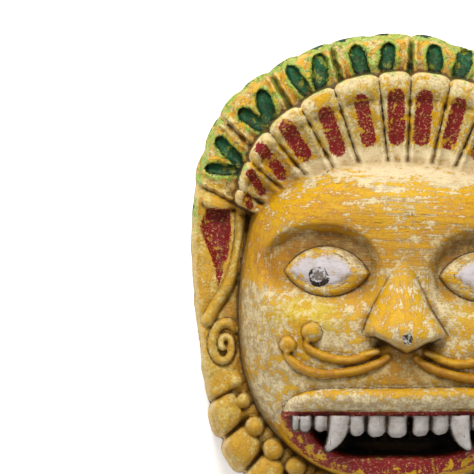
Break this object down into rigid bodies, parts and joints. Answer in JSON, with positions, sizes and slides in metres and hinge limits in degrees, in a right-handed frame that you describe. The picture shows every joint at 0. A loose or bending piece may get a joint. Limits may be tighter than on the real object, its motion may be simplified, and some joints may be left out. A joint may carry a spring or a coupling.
{
  "type": "carved wooden mask",
  "caption": "Oval carved and painted wooden mask of a fanged guardian with a leaf crown, scrolled ears, moustache and beard, hollow behind and open at the mouth.",
  "frame": {"origin": "centre of the back rim's plane, in the middle of the mask's width and height; the mask lies on this plane with its face up", "axes": "+X towards the viewer's right, +Y towards the crown, +Z out of the face"},
  "size_m": [0.2406, 0.2941, 0.108],
  "materials": {
    "painted_wood": "worn matte paint over carved wood"
  },
  "bodies": {
    "root": {"mask": "painted_wood"}
  },
  "joints": []
}
